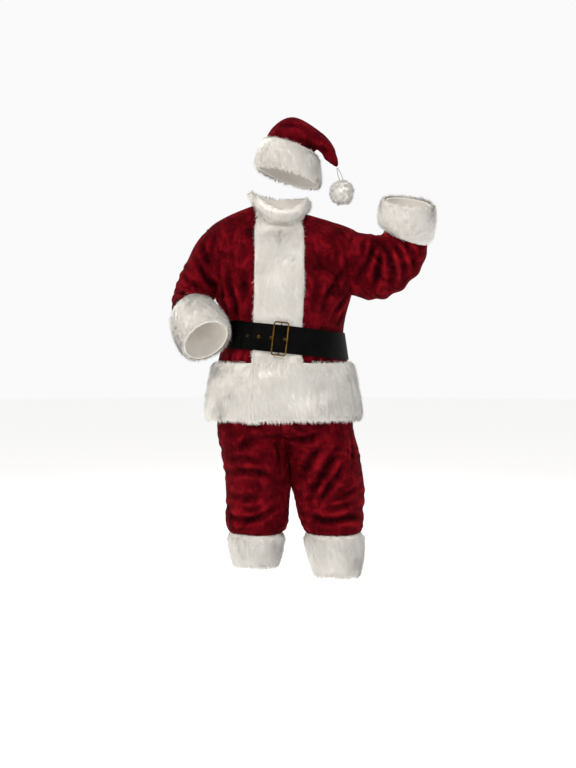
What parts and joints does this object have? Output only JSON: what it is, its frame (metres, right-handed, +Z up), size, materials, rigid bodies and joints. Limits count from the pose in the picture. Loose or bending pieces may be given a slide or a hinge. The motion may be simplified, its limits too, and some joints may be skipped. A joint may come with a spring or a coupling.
{
  "type": "santa suit with hat and belt",
  "caption": "Red plush jacket and trousers with white fur trim, a fur-banded hat with a pompom and a wide black belt, held hollow in a waving pose.",
  "frame": {"origin": "between the wearer's shoulders, where the jacket hangs, 1.440 m above the wearer's heels", "axes": "+Z up, -Y the way the wearer faces, +X the wearer's left, the side of the raised arm"},
  "size_m": [0.8954, 0.48, 1.5637],
  "materials": {
    "red_plush": "crushed long-pile plush, deep crimson with a bright nap",
    "white_fur": "long white faux fur, slightly warm",
    "black_leather": "smooth, half glossy",
    "brass": "polished, a little worn",
    "grey_thread": "thin twisted cord"
  },
  "bodies": {
    "root": {"back": "red_plush", "front_left": "red_plush", "front_right": "red_plush", "sleeve_left": "red_plush", "sleeve_right": "red_plush", "leg_left_front": "red_plush", "leg_left_back": "red_plush", "leg_right_front": "red_plush", "leg_right_back": "red_plush", "waistband": "red_plush", "hat_crown": "red_plush", "front_band": "white_fur", "hem_left": "white_fur", "hem_right": "white_fur", "hem_back": "white_fur", "collar": "white_fur", "cuff_left": "white_fur", "cuff_right": "white_fur", "leg_cuff_left": "white_fur", "leg_cuff_right": "white_fur", "hat_band": "white_fur", "pompom": "white_fur", "belt": "black_leather", "belt_keeper": "black_leather", "buckle_frame": "brass", "buckle_bar": "brass", "buckle_tongue": "brass", "eyelet_1": "brass", "eyelet_2": "brass", "eyelet_3": "brass", "eyelet_4": "brass", "pompom_loop": "grey_thread"}
  },
  "joints": []
}
